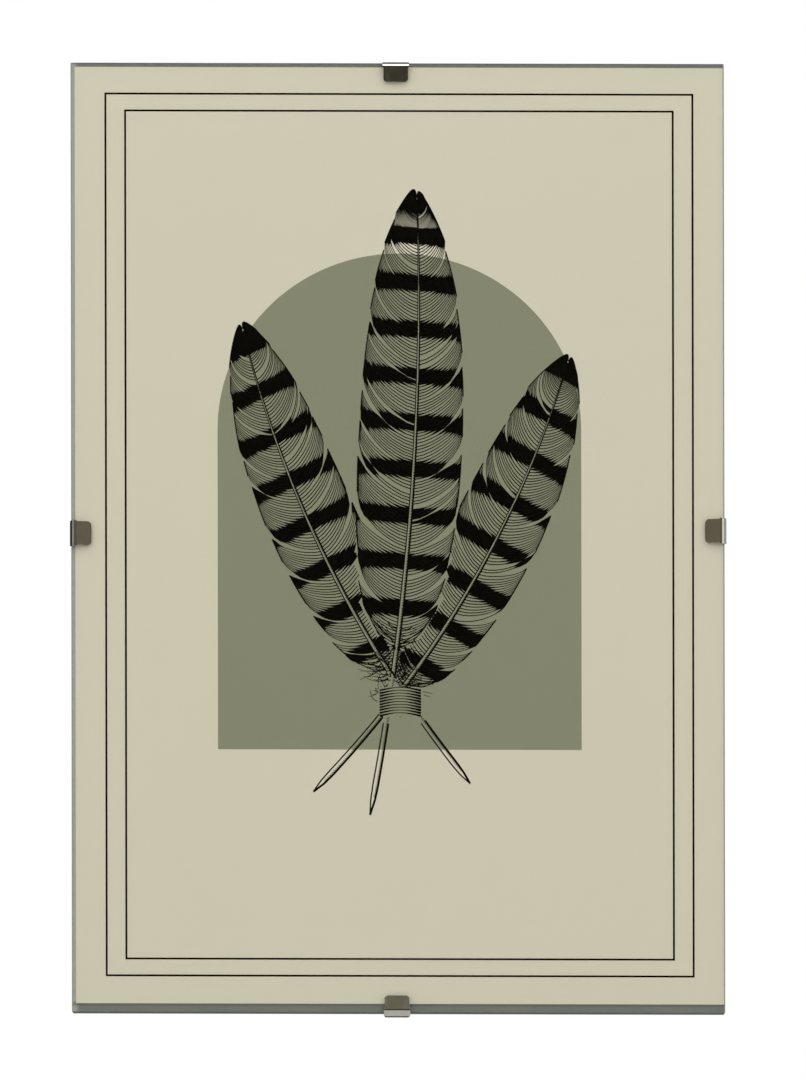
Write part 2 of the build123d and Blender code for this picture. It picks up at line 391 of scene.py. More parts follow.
# Plated metals: scale of the rolling lines, scale of the smudges, roughness, what smudges add to
# it, share of the slow waves in the bump, and the bump's depth
METALS = {
    "nickel_plate": (700.0, 95.0, 0.1, 0.06, 0.5, 0.04 * MM),
    "zinc_strap": (1500.0, 160.0, 0.26, 0.16, 0.3, 0.05 * MM),
    "zinc_wire": (2500.0, 200.0, 0.2, 0.14, 0.3, 0.03 * MM),
    "dull_rivet": (1800.0, 250.0, 0.34, 0.16, 0.3, 0.04 * MM),
}


def metal_material(name, base):
    """Plated steel, with the worn_metal group on it."""
    material, shader, at = new_material(name)
    *grades, depth = METALS[name]
    worn = use_group("worn_metal", {"Vector": at} | dict(zip(METAL_GRADES, grades)))
    results = {
        "Base Color": scaled(base, worn["Tint"]),
        "Roughness": worn["Roughness"],
        "Metallic": 1.0,
        "Normal": bump(worn["Height"], depth),
    }
    feed(shader, results)
    return material


def matt_material(name, base, scale, lowest, rough):
    """Matt paint for the stage, a little uneven."""
    material, shader, at = new_material(name)
    shade = scaled(base, ramp(noise(at, scale), 0.3, 0.7, lowest, 1.0))
    feed(shader, {"Base Color": shade, "Roughness": rough, "Specular IOR Level": 0.0})
    return material


def placed(name, data):
    """A new object in the scene."""
    made = bpy.data.objects.new(name, data)
    bpy.context.scene.collection.objects.link(made)
    return made


def dress(name, material):
    """Gives a CAD node its finish."""
    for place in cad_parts[name].material_slots:
        place.material = material


def new_piece(name, mesh, body, materials, replaces=()):
    """Adds a finished mesh as a piece that rides on a body."""
    piece = placed(name, mesh)
    for material in materials:
        mesh.materials.append(material)
    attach(piece, body)
    if replaces:
        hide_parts(*replaces)
    return piece


def to_mesh(bm, name, smooth_angle=35.0):
    """The bmesh as a mesh, smooth but for edges sharper than the angle."""
    bmesh.ops.recalc_face_normals(bm, faces=bm.faces)
    for face in bm.faces:
        face.smooth = True
    mesh = bpy.data.meshes.new(name)
    bm.to_mesh(mesh)
    bm.free()
    mesh.set_sharp_from_angle(angle=math.radians(smooth_angle))
    return mesh


def rectangle(bm, low, high, depth):
    """One face in the plane y = depth, facing -Y."""
    middle, half = (low + high) / 2, (high - low) / 2
    place = Matrix.Translation((middle.x, depth, middle.z)) @ Matrix.Rotation(math.pi / 2, 4, "X")
    place = place @ Matrix.Diagonal((half.x, half.z, 1, 1))
    made = bmesh.ops.create_grid(bm, x_segments=1, y_segments=1, size=1.0, matrix=place)
    face = made["verts"][0].link_faces[0]
    face.normal_update()
    return face


def thicken(bm, faces, offset):
    """Extrudes faces into a solid by an offset vector."""
    made = bmesh.ops.extrude_face_region(bm, geom=faces)
    moved = [v for v in made["geom"] if isinstance(v, bmesh.types.BMVert)]
    bmesh.ops.translate(bm, verts=moved, vec=offset)


def bevel(bm, geom, width, segments, affect="EDGES"):
    """Chamfers or rounds edges of a solid, or corners of a flat face."""
    shape = {"offset": width, "offset_type": "OFFSET", "segments": segments, "profile": 0.5}
    bmesh.ops.bevel(bm, geom=geom, affect=affect, material=-1, **shape)


def bevel_rims(bm, axis, width, segments):
    """Chamfers or rounds a plate all round, on both of its faces across an axis."""
    bmesh.ops.recalc_face_normals(bm, faces=bm.faces)
    faces = [f for f in bm.faces if abs(f.normal[axis]) > 0.9]
    bevel(bm, list(dict.fromkeys(e for f in faces for e in f.edges)), width, segments)


class SharedOptions:
    """What all the operators share."""

    bl_options = {"REGISTER", "UNDO"}


class CLIPFRAME_OT_glass(SharedOptions, bpy.types.Operator):
    """Float glass pane with ground edges"""

    bl_idname = "clip_frame.glass"
    bl_label = "Glass pane"

    def execute(self, context):
        values = settings("glass")
        bm = bmesh.new()
        rectangle(bm, GLASS_LOW, GLASS_HIGH, GLASS_LOW.y)
        middle = (GLASS_LOW.z + GLASS_HIGH.z) / 2
        upper = [v for v in bm.verts if v.co.z > middle]
        lower = [v for v in bm.verts if v.co.z < middle]
        bevel(bm, lower, values.bottom_corner, 8, "VERTICES")
        bevel(bm, [v for v in upper if v.is_valid], values.top_corner, 6, "VERTICES")
        thicken(bm, bm.faces[:], Vector((0, GLASS_HIGH.y - GLASS_LOW.y, 0)))
        bevel_rims(bm, 1, values.arris, 1)
        for face in bm.faces:
            face.material_index = 0 if abs(face.normal.y) > 0.9 else 1
        mesh = to_mesh(bm, "glass_pane", 30.0)
        new_piece("glass_pane", mesh, BODY, (self.pane(), self.ground()), ("front_glass",))
        return {"FINISHED"}

    def let_through(self, shader, tint):
        """Lamps and the room's light pass, so that they reach the sheet."""
        tree = shader.id_data
        out = next(n for n in tree.nodes if n.type == "OUTPUT_MATERIAL")
        path = tree.nodes.new("ShaderNodeLightPath").outputs
        through = tree.nodes.new("ShaderNodeBsdfTransparent")
        through.inputs["Color"].default_value = (*tint, 1.0)
        shown = shader.outputs[0]
        for ray in ("Is Diffuse Ray", "Is Shadow Ray"):
            inputs = {0: path[ray], 1: shown, 2: through.outputs[0]}
            shown = node("ShaderNodeMixShader", inputs).outputs[0]
        feed(out, {"Surface": shown})

    def pane(self):
        """Clear glass."""
        material, shader, _ = new_material("clear_glass")
        tint = settings("glass").tint
        results = {
            "Base Color": (*tint, 1.0),
            "Roughness": 0.0,
            "IOR": 1.5,
            "Transmission Weight": 1.0,
        }
        feed(shader, results)
        self.let_through(shader, tint)
        return material

    def ground(self):
        """Ground glass: grey-green and frosted, with painted light on its sides, chips, and a
        darker foot.
        """
        values = settings("glass")
        material, shader, at = new_material("ground_glass")
        x, _, z = apart(at)
        patch = noise(at, 9.0, 4.0, 0.65)
        chips = ramp(noise(at, 900.0, 2.0), 0.64, 0.74)
        blotches = ramp(patch, 0.35, 0.65)
        body = tone(blotches, times(values.ground, 0.85), times(values.ground, 1.3))
        # Painted light: the ground edges at the left and right are lighter than the rest
        start = GLASS_HIGH.x - 0.9 * MM
        side = ramp(calc("ABSOLUTE", x), start - 0.2 * MM, start)
        body = tone(side, body, PAINTED_SIDE_LIGHT)
        foot = ramp(z, GLASS_LOW.z + 1.5 * MM, GLASS_LOW.z + 0.9 * MM)
        body = tone(foot, body, times(values.ground, 0.75))
        results = {
            "Base Color": tone(chips, body, CHIP),
            "Roughness": ramp(patch, 0.2, 0.8, 0.3, 0.5),
            "Normal": bump(noise(at, 2500.0, 3.0), 0.03 * MM, 0.6),
        }
        feed(shader, results)
        self.let_through(shader, HAZE)
        return material


class CLIPFRAME_OT_sheet(SharedOptions, bpy.types.Operator):
    """Paper of the printed sheet"""

    bl_idname = "clip_frame.sheet"
    bl_label = "Sheet"

    def execute(self, context):
        values = settings("print")
        paper = paper_material("print_paper", values.paper, 0.65, 0.2, RIGHT_EDGE_SHADE)
        dress("print_sheet", paper)
        return {"FINISHED"}


def new_print(name, mesh, ink):
    """Adds what one ink prints; its pieces share the ink's material."""
    known = bpy.data.materials.get(f"{ink}_ink")
    colour_of_ink = getattr(settings("print"), ink)
    material = known or paper_material(f"{ink}_ink", colour_of_ink, 0.75, 0.02)
    new_piece(name, mesh, BODY, (material,))


class CLIPFRAME_OT_border(SharedOptions, bpy.types.Operator):
    """Two printed border lines"""

    bl_idname = "clip_frame.border"
    bl_label = "Border lines"

    def execute(self, context):
        values = settings("print")
        bm = bmesh.new()
        depth = SHEET_LOW.y - BLACK_OFF
        rise = Vector((0, 0, values.rise))
        outer = (values.outer_side, 0, values.outer_end)
        inner = (values.inner_side, 0, values.inner_end)
        for inset in (Vector(outer), Vector(inner)):
            low, high = SHEET_LOW + inset + rise, SHEET_HIGH - inset + rise
            face = rectangle(bm, low, high, depth)
            bmesh.ops.inset_region(
                bm, faces=[face], thickness=values.line, use_boundary=True, use_even_offset=True
            )
            bmesh.ops.delete(bm, geom=[face], context="FACES")
        thicken(bm, bm.faces[:], Vector((0, -BLACK_THICK, 0)))
        new_print("print_border", to_mesh(bm, "print_border"), "black")
        return {"FINISHED"}


# Height of the arched field's foot on the sheet
ARCH_FOOT = -200 * MM


class CLIPFRAME_OT_arch(SharedOptions, bpy.types.Operator):
    """Olive field with a round top behind the feathers"""

    bl_idname = "clip_frame.arch"
    bl_label = "Arched field"

    def execute(self, context):
        values = settings("print")
        middle = (SHEET_LOW.x + SHEET_HIGH.x) / 2
        radius = values.arch_width / 2
        spring = ARCH_FOOT + values.arch_height - radius
        depth = SHEET_LOW.y - OLIVE_OFF
        bm = bmesh.new()
        start = bm.verts.new((middle + radius, depth, spring))
        centre = (middle, depth, spring)
        bmesh.ops.spin(bm, geom=[start], cent=centre, axis=FORWARD, angle=math.pi, steps=72)
        foot = [bm.verts.new((middle + x, depth, ARCH_FOOT)) for x in (-radius, radius)]
        ends = [v for v in bm.verts if len(v.link_edges) == 1]
        left, right = sorted(ends, key=lambda v: v.co.x)
        for pair in ((right, foot[1]), (foot[1], foot[0]), (foot[0], left)):
            bm.edges.new(pair)
        bmesh.ops.contextual_create(bm, geom=bm.edges[:])
        thicken(bm, bm.faces[:], Vector((0, -OLIVE_THICK, 0)))
        new_print("print_arch", to_mesh(bm, "print_arch"), "olive")
        return {"FINISHED"}


# Feathers, in millimetres on the sheet: quill end, tip, bow of the shaft, half width of the vane,
# and the share of the half width that its left and right sides have
FEATHERS = (
    {"root": (-26, -262), "tip": (18, 322), "bow": -16, "half": 56, "sides": (1.0, 0.82)},
    {"root": (66, -232), "tip": (-142, 196), "bow": 26, "half": 48, "sides": (0.82, 1.0)},
    {"root": (-78, -240), "tip": (156, 166), "bow": -28, "half": 48, "sides": (1.0, 0.82)},
)
# Where the vane starts, as a share of the shaft; then the dark bars across it: their distance,
# the share of it that is dark, and how much thicker the barbs are there
VANE_START = 0.27
BAR_PITCH, BAR_SHARE, BAR_SWELL = 44.0, 0.36, 4.5
# How much thinner a barb is at its tip, the share of barbs that are missing, and the line that
# joins the tips of a clump
BARB_TAPER, BARB_GAPS, TIP_LINE = 0.45, 0.03, 1.1
# Shares of the shaft that a clump of barbs takes up, and where the last clump starts
CLUMP_LOW, CLUMP_HIGH, LAST_CLUMP = 0.035, 0.12, 0.93
# Lines of hatching on the shaft: how many, where they start, and how far apart
HATCHES, HATCH_START, HATCH_STEP = 150, 0.03, 0.0045
# Loose barbs below the vane on each side
LOOSE_BARBS = 18


def shares(count):
    """Numbers from 0 to 1 at even steps."""
    return [k / (count - 1) for k in range(count)]


class Feather:
    """One feather: its shaft's curve, its vane's outline and the strokes that draw it."""

    def __init__(self, plan, rng, step):
        self.root, self.tip = Vector(plan["root"]), Vector(plan["tip"])
        across = (self.tip - self.root).orthogonal().normalized()
        self.bend = (self.root + self.tip) / 2 + across * plan["bow"] * 2
        self.half, self.sides = plan["half"], plan["sides"]
        self.length = (self.tip - self.root).length
        self.rng, self.step = rng, step
        self.strokes = []
        self.outline = self.half_outline(-1) + self.half_outline(1)[::-1]

    def shaft(self, t):
        """Point, direction and right-hand normal of the shaft at share t of its length."""
        at = self.root * (1 - t) ** 2 + self.bend * 2 * t * (1 - t) + self.tip * t * t
        way = ((self.bend - self.root) * (1 - t) + (self.tip - self.bend) * t).normalized()
        return at, way, Vector((way.y, -way.x))

    def shaft_half(self, t):
        """Half the shaft's width."""
        return 2.3 * (1 - t) ** 0.8 + 0.25

    def barb(self, t, side, pull=0.0):
        """Points of one barb from the shaft out, on side -1 left or 1 right."""
        at, way, normal = self.shaft(t)
        s = min((t - VANE_START) / (1 - VANE_START), 1.0)
        reach = self.half * self.sides[(side + 1) // 2] * 1.5 * s**0.28 * (1 - s) ** 0.5
        sweep = reach * (0.75 + 0.35 * s) + 15 * s * s * (1 - s) ** 0.3
        points = []
        for u in shares(10):
            out = self.shaft_half(t) + reach * (1 - (1 - u) ** 1.5) * (1 - 0.85 * u * u * s**8)
            points.append(at + normal * side * out + way * (sweep * u**1.35 + pull * u * u))
        return points

    def half_outline(self, side):
        """The vane's edge on one side: its first barb, then the tips of the others."""
        first, *others = (VANE_START + (1 - VANE_START) * u for u in shares(61))
        return self.barb(first, side) + [self.barb(t, side)[-1] for t in others]

    def covers(self, point):
        """True if a point of the sheet lies under this feather."""
        inside = False
        for a, b in zip(self.outline, self.outline[1:] + self.outline[:1]):
            if (a.y > point.y) != (b.y > point.y):
                inside ^= point.x < a.x + (point.y - a.y) * (b.x - a.x) / (b.y - a.y)
        if inside:
            return True
        quill = ((self.shaft(i / 100)[0] - point).length for i in range(34))
        return min(quill) < self.shaft_half(0) + 0.8

    def draw(self, points, widths):
        """Keeps one stroke: its points, and the width at each."""
        self.strokes.append((points, widths))

    def draw_shaft(self):
        """Two outlines, closed at the quill, with hatching down the right side."""
        for side, thick in ((-1, 1.3), (1, 2.0)):
            points, widths = [], []
            for t in (u * 0.998 for u in shares(41)):
                at, way, normal = self.shaft(t)
                half = self.shaft_half(t) * min(1.0, (t * 24) ** 0.5)
                points.append(at + normal * side * half)
                widths.append(thick * (1 - 0.5 * t))
            self.draw(points, widths)
        for i in range(HATCHES):
            t = HATCH_START + i * HATCH_STEP
            at, way, normal = self.shaft(t)
            half = self.shaft_half(t)
            points = [at + normal * half * (0.1 + 0.4 * k) + way * 1.1 * k for k in range(3)]
            self.draw(points, [0.5, 0.8, 0.9])

    def draw_vane(self, side):
        """Barbs in clumps that part at their tips, darker in bars across the feather."""
        t, clump_start, clump_end = VANE_START, VANE_START, VANE_START
        tips = []
        while t < 0.9999:
            s = (t - VANE_START) / (1 - VANE_START)
            if t >= clump_end:
                self.draw(tips, [TIP_LINE] * len(tips))
                tips = []
                clump_start = clump_end
                clump_end = clump_start + self.rng.uniform(CLUMP_LOW, CLUMP_HIGH)
                if clump_end > LAST_CLUMP:
                    clump_end = 1.0
            place = t - (clump_start + clump_end) / 2
            points = self.barb(t, side, -place * self.length * 0.32 * (1 - s * s))
            widths = []
            for point, u in zip(points, shares(len(points))):
                along = (point - self.root).dot(self.tip - self.root) / self.length / BAR_PITCH
                bar = max(0.0, 1 - abs((along % 1.0) - 0.5) / (BAR_SHARE / 2)) ** 0.5
                widths.append((1 - BARB_TAPER * u) * (1 + BAR_SWELL * bar))
            widths[-1] *= 0.5
            if self.rng.random() > BARB_GAPS:
                self.draw(points, widths)
            tips.append(points[-1])
            closer = min(1.0, 0.012 + 9 * (1 - s))
            t += self.step / self.length * self.rng.uniform(0.86, 1.14) * closer
        self.draw(tips, [TIP_LINE] * len(tips))

    def draw_down(self, side):
        """Loose curling barbs below the vane."""
        for i in range(LOOSE_BARBS):
            at, way, normal = self.shaft(VANE_START - 0.05 + 0.005 * i)
            size = self.rng.uniform(15, 29)
            curl, lift = self.rng.uniform(0.3, 1.0), self.rng.uniform(-0.5, 0.35)
            points = []
            for u in shares(9):
                out = 1.5 + size * (u - 0.22 * curl * u * u)
                wave = math.sin(u * math.pi * 2.2 + i) * 1.5 * u
                ahead = size * (lift * u + 0.5 * curl * u * u) + wave
                points.append(at + normal * side * out + way * ahead)
            self.draw(points, [0.95 - 0.5 * u for u in shares(9)])

    def draw_all(self):
        """The whole feather."""
        self.draw_shaft()
        for side in (-1, 1):
            self.draw_vane(side)
            self.draw_down(side)


# Thread round the quills where they cross: low and high corner, rows, how far each row bows, and
# the widths along it
THREAD_LOW, THREAD_HIGH = Vector((-17, -168)), Vector((21, -141))
THREAD_ROWS, THREAD_BOW = 10, 3
THREAD_WIDTHS = (1.9, 1.6, 1.2, 0.8, 0.7, 0.8, 1.3, 1.8, 2.2)


def thread_strokes():
    """Thread wound round the quills, as bowed strokes between two rounded sides."""
    strokes = []
    width, height = THREAD_HIGH - THREAD_LOW
    for row in shares(THREAD_ROWS):
        z = THREAD_LOW.y + (height - THREAD_BOW) * row
        points = [
            Vector((THREAD_LOW.x + width * u, z + THREAD_BOW * math.sin(math.pi * u)))
            for u in shares(len(THREAD_WIDTHS))
        ]
        strokes.append((points, THREAD_WIDTHS))
    return strokes


def in_thread(point):
    """True if a point of the sheet lies under the thread."""
    return (
        THREAD_LOW.x - 0.5 < point.x < THREAD_HIGH.x + 0.5
        and THREAD_LOW.y - 0.5 < point.y < THREAD_HIGH.y - 0.5
    )


def visible_runs(points, widths, covers):
    """The stretches of a stroke that no feather in front covers."""
    runs, run = [], []
    for point, width in zip(points, widths):
        if any(cover(point) for cover in covers):
            runs.append(run)
            run = []
        else:
            run.append((point, width))
    runs.append(run)
    return [r for r in runs if len(r) > 1]


def strokes_mesh(name, strokes, depth, thick):
    """Flat tapered strokes, each with its widths, as one mesh on the sheet."""
    curve = bpy.data.curves.new(name, "CURVE")
    curve.dimensions = "2D"
    curve.bevel_depth = MM
    curve.bevel_resolution = 0
    curve.use_fill_caps = True
    for run in strokes:
        spline = curve.splines.new("POLY")
        spline.points.add(len(run) - 1)
        for point, (at, width) in zip(spline.points, run):
            point.co = (at.x * MM, at.y * MM, 0, 1)
            point.radius = width / 2
    carrier = bpy.data.objects.new(name, curve)
    mesh = bpy.data.meshes.new_from_object(carrier)
    bpy.data.objects.remove(carrier)
    bpy.data.curves.remove(curve)
    deepest = max(abs(v.co.z) for v in mesh.vertices)
    flat = Matrix.Diagonal((1, 1, thick / 2 / deepest, 1))
    place = Matrix.Translation((0, depth - thick / 2, 0)) @ Matrix.Rotation(math.pi / 2, 4, "X")
    mesh.transform(place @ flat)
    mesh.name = name
    return mesh


class CLIPFRAME_OT_feathers(SharedOptions, bpy.types.Operator):
    """Three engraved feathers, tied at their quills"""

    bl_idname = "clip_frame.feathers"
    bl_label = "Feathers"

    def execute(self, context):
        values = settings("print")
        rng = random.Random(values.seed)
        strokes = [list(zip(points, widths)) for points, widths in thread_strokes()]
        covers = [in_thread]
        for plan in FEATHERS:
            feather = Feather(plan, rng, values.barb_step / MM)
            feather.draw_all()
            for points, widths in feather.strokes:
                strokes += visible_runs(points, widths, covers)
            covers.append(feather.covers)
        mesh = strokes_mesh("print_feathers", strokes, SHEET_LOW.y - BLACK_OFF, BLACK_THICK)
        new_print("print_feathers", mesh, "black")
        return {"FINISHED"}


class Bends:
    """The middle line of a bent strip: straight runs and arcs through the points of a section."""

    def __init__(self, points, radii):
        points = [Vector(p) for p in points]
        ways = [(b - a).normalized() for a, b in zip(points, points[1:])]
        turns = [math.atan2(a.x * b.y - a.y * b.x, a.dot(b)) for a, b in zip(ways, ways[1:])]
        backs = [0, *(r * math.tan(abs(t) / 2) for r, t in zip(radii, turns)), 0]
        self.start = points[0]
        self.heading = math.atan2(ways[0].y, ways[0].x)
        self.runs = []
        for i, (a, b) in enumerate(zip(points, points[1:])):
            self.runs.append(((b - a).length - backs[i] - backs[i + 1], 0.0))
            if i < len(turns):
                self.runs.append((radii[i] * abs(turns[i]), turns[i]))
        self.length = sum(run for run, _ in self.runs)

    def at(self, along):
        """Point of the middle line and its heading, at a distance along it."""
        point, heading = self.start.copy(), self.heading
        for i, (run, turn) in enumerate(self.runs):
            step = along if i == len(self.runs) - 1 else min(along, run)
            bend = turn * step / run
            chord = step if not turn else 2 * run / turn * math.sin(bend / 2)
            middle = heading + bend / 2
            point += Vector((math.cos(middle), math.sin(middle))) * chord
            heading += bend
            along -= step
            if along <= 0:
                break
        return point, heading

    def stations(self, step):
        """Where the strip is cut across so that it can bend."""
        cuts, along = [], 0.0
        for run, turn in self.runs:
            parts = max(1, math.ceil(abs(turn) / step))
            cuts += [along + run * (i + 1) / parts for i in range(parts)]
            along += run
        return cuts[:-1]

    def reaching(self, x, low, high):
        """The distance along the line, between low and high, at which it is at x."""
        rising = self.at(high)[0].x > self.at(low)[0].x
        for _ in range(40):
            middle = (low + high) / 2
            if (self.at(middle)[0].x < x) == rising:
                low = middle
            else:
                high = middle
        return low


# Clips: most a bend turns between two cuts across the strip, the cuts along it, how close a
# vertex may be to a cut, and how far the bowed tips reach back
BEND_STEP = math.radians(5)
LENGTHWISE_CUTS = [y * MM for y in range(-9, 10, 3)]
WELD = 1e-7
TIP_BLEND = 6 * MM


class CLIPFRAME_OT_clips(SharedOptions, bpy.types.Operator):
    """Four spring clips, each bent from a flat blank"""

    bl_idname = "clip_frame.clips"
    bl_label = "Spring clips"

    def execute(self, context):
        steel = metal_material("nickel_plate", settings("clips").steel)
        for name, outward in CLIPS.items():
            mesh = self.bent(name, outward)
            piece = new_piece(f"spring_{name}", mesh, name, (steel,), (name,))
            piece.modifiers.new("even_normals", "WEIGHTED_NORMAL").keep_sharp = True
        return {"FINISHED"}

    def bent(self, name, outward):
        """The blank bent along the clip's section and set on its edge of the glass."""
        values = settings("clips")
        low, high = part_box(name)
        centre = (low + high) / 2
        across = FORWARD.cross(outward)
        web = max(low.dot(outward), high.dot(outward))
        corner = outward * web + across * centre.dot(across) + FORWARD * -GLASS_LOW.y
        stack = BOARD_HIGH.y - GLASS_LOW.y
        lip = values.grip + values.thickness / 2
        line = -values.thickness / 2
        bends = Bends(
            (
                (-values.reach, lip + values.flare_rise),
                (-values.reach + values.flare, lip),
                (line, values.nose),
                (line, -stack - values.heel),
                (-values.leg_reach + values.leg_turn, -stack - lip),
                (-values.leg_reach, -stack - lip - values.leg_rise),
            ),
            (values.flare_bend, values.roll, values.heel_bend, values.leg_bend),
        )
        bm = self.blank(bends)
        depth = stack + values.heel + values.thickness
        half = values.width / 2
        tongue = values.leg_width / 2
        for vert in bm.verts:
            point, heading = bends.at(vert.co.x)
            side = Vector((-math.sin(heading), math.cos(heading)))
            place = point + side * vert.co.z
            narrow = (half - values.heel_width / 2) * max(0.0, -place.y) / depth
            outer = max(0.0, abs(vert.co.y) - tongue) / (half - tongue)
            off = vert.co.y - math.copysign(narrow * outer, vert.co.y)
            vert.co = corner + outward * place.x + FORWARD * place.y + across * off
        return to_mesh(bm, name, 50.0)

    def blank(self, bends):
        """Flat strip, x along it from the lip's tip, y across, z through its thickness."""
        values = settings("clips")
        nose = sum(run for run, _ in bends.runs[:3])
        heel = sum(run for run, _ in bends.runs[:6])
        lip_end = bends.reaching(-values.shoulder, 0.0, nose)
        leg_start = bends.reaching(-values.shoulder, heel, bends.length)
        steps = (
            (0.0, lip_end, values.lip_width),
            (lip_end, leg_start, values.width),
            (leg_start, bends.length, values.leg_width),
        )
        upper = [(x, width / 2) for low, high, width in steps for x in (low, high)]
        outline = upper + [(x, -y) for x, y in reversed(upper)]
        bm = bmesh.new()
        bm.faces.new([bm.verts.new((x, y, -values.thickness / 2)) for x, y in outline])
        for end, radius, segments in (
            (0.0, values.lip_corner, 8),
            (bends.length, values.leg_corner, 8),
            (lip_end, values.rim * 2, 2),
        ):
            corners = [v for v in bm.verts if abs(v.co.x - end) < MM / 100]
            bevel(bm, corners, radius, segments, "VERTICES")
        thicken(bm, bm.faces[:], Vector((0, 0, values.thickness)))
        bevel_rims(bm, 2, values.rim, 2)
        cuts = [((x, 0, 0), (1, 0, 0)) for x in bends.stations(BEND_STEP)]
        cuts += [((0, y, 0), (0, 1, 0)) for y in LENGTHWISE_CUTS]
        for point, normal in cuts:
            geometry = bm.verts[:] + bm.edges[:] + bm.faces[:]
            bmesh.ops.bisect_plane(bm, geom=geometry, dist=WELD, plane_co=point, plane_no=normal)
        tips = ((0.0, values.lip_width, 1), (bends.length, values.leg_width, -1))
        for vert in bm.verts:
            for end, width, inward in tips:
                near = max(0.0, 1 - abs(vert.co.x - end) / TIP_BLEND)
                vert.co.x += inward * values.tip_bow * (2 * vert.co.y / width) ** 2 * near
        return bm


# Where painted light turns the board's front pale towards the left
LEFT_LIGHT_START, LEFT_LIGHT_END = -292 * MM, -298 * MM


class CLIPFRAME_OT_board(SharedOptions, bpy.types.Operator):
    """Hardboard: sealed front, screen-side back and cut edges"""

    bl_idname = "clip_frame.board"
    bl_label = "Hardboard back"

    def execute(self, context):
        values = settings("back")
        material, shader, at = new_material("hardboard")
        x, y, z = apart(at)
        patch = noise(at, 14.0, 3.0)
        fibre = noise(stretched(at, (1, 1, 0.35), (0, 0.5, 0)), 260.0, 6.0, 0.65, 0.4)
        is_front = ramp(y, BOARD_LOW.y + 0.15 * MM, BOARD_LOW.y + 0.1 * MM)
        shade = tone(is_front, self.back(at, fibre, patch), self.front(x, z, patch))
        rims = [
            ramp(calc("ABSOLUTE", along), edge - 0.3 * MM, edge - 0.1 * MM)
            for along, edge in ((x, BOARD_HIGH.x), (z, BOARD_HIGH.z))
        ]
        turns = 2 * math.pi / values.screen
        waves = [calc("SINE", product(along, turns)) for along in (x, z)]
        height = total(product(*waves, 0.5), fibre)
        height = product(height, calc("SUBTRACT", 1.0, is_front))
        results = {
            "Base Color": tone(calc("MAXIMUM", *rims), shade, RIM),
            "Roughness": ramp(fibre, 0.2, 0.8, 0.62, 0.85),
            "Normal": bump(height, 0.16 * MM, 0.8),
        }
        feed(shader, results)
        dress("back_board", material)
        return {"FINISHED"}

    def back(self, at, fibre, patch):
        """Pressed fibres, pale flecks and darker stains."""
        values = settings("back")
        flecks = noise(stretched(at, (1, 1, 0.2), (0, 1.1, 0)), 420.0, 3.0)
        shade = tone(fibre, times(values.back, 0.62), times(values.back, 1.4))
        shade = tone(ramp(flecks, 0.6, 0.72, 0.0, 0.5), shade, FLECK)
        return tone(ramp(patch, 0.35, 0.7, 0.0, 0.25), shade, STAIN)

    def front(self, x, z, patch):
        """Sealed and dull, with painted light to the left of the sheet and a painted shadow just
        below it.
        """
        values = settings("back")
        shade = tone(ramp(patch, 0.35, 0.65), values.front, PATCH)
        # Painted light: the front turns paler towards its left edge
        left = ramp(x, LEFT_LIGHT_START, LEFT_LIGHT_END, 0.0, 0.85)
        shade = tone(left, shade, LEFT_PAINTED_LIGHT)
        # Painted shadow: a dark band on the front just below the sheet's lower edge
        below = ramp(z, SHEET_LOW.z - 3.6 * MM, SHEET_LOW.z - 1.2 * MM, 0.0, 0.6)
        above = ramp(z, SHEET_LOW.z + 3.0 * MM, SHEET_LOW.z)
        return tone(product(below, above), shade, SHADOW_BELOW_SHEET)


class CLIPFRAME_OT_hangers(SharedOptions, bpy.types.Operator):
    """Zinc plate on the straps and rings, dull steel on the rivets"""

    bl_idname = "clip_frame.hangers"
    bl_label = "Hangers"

    def execute(self, context):
        values = settings("back")
        rivet = metal_material("dull_rivet", values.rivet)
        finishes = {
            "strap": metal_material("zinc_strap", values.zinc),
            "ring": metal_material("zinc_wire", values.zinc),
            "rivet": rivet,
            "washer": rivet,
        }
        for place in HANGERS:
            for kind, material in finishes.items():
                dress(f"hanger_{kind}_{place}", material)
        return {"FINISHED"}


# The studio that metal and glass mirror: left, right, low and high of each card in degrees, and
# its colour. Straight ahead of the picture is 0, its right is positive.
CARDS = (
    (-200, 200, -95, -12, (0.44, 0.44, 0.43)),
    (-80, 80, 38, 80, (1.9, 1.9, 1.88)),
    (-14, 8, -12, 8, (0.05, 0.045, 0.028)),
    (-3, 5, 9, 20, (0.012, 0.012, 0.012)),
    (-42, -27, -6, 26, (0.05, 0.045, 0.035)),
    (-150, -42, -10, 34, (0.5, 0.5, 0.46)),
    (32, 60, -10, 34, (1.3, 1.3, 1.25)),
    (60, 150, -10, 40, (0.55, 0.55, 0.53)),
    (100, 200, -70, 10, (0.8, 0.8, 0.78)),
    (-200, -100, -70, 4, (0.8, 0.8, 0.78)),
    (-190, -74, 6, 24, (0.04, 0.04, 0.035)),
    (165, 200, 12, 96, (0.02, 0.02, 0.015)),
    (-200, -165, 12, 96, (0.02, 0.02, 0.015)),
    (-200, 200, 80, 96, (0.02, 0.02, 0.015)),
)
CARD_EDGE = 5.0
ROOM = (0.19, 0.17, 0.118)
# Middle and half sizes of the dark card, half the floor's width, place and size of the lamp
FLAG_PLACE, FLAG_HALF = Vector((0, 0.03, -0.462)), (0.016, 0.005)
FLOOR_HALF = 5.15
LAMP_PLACE, LAMP_SIZE = Vector((-0.5, -1.5, 2.6)), (1.6, 1.0)


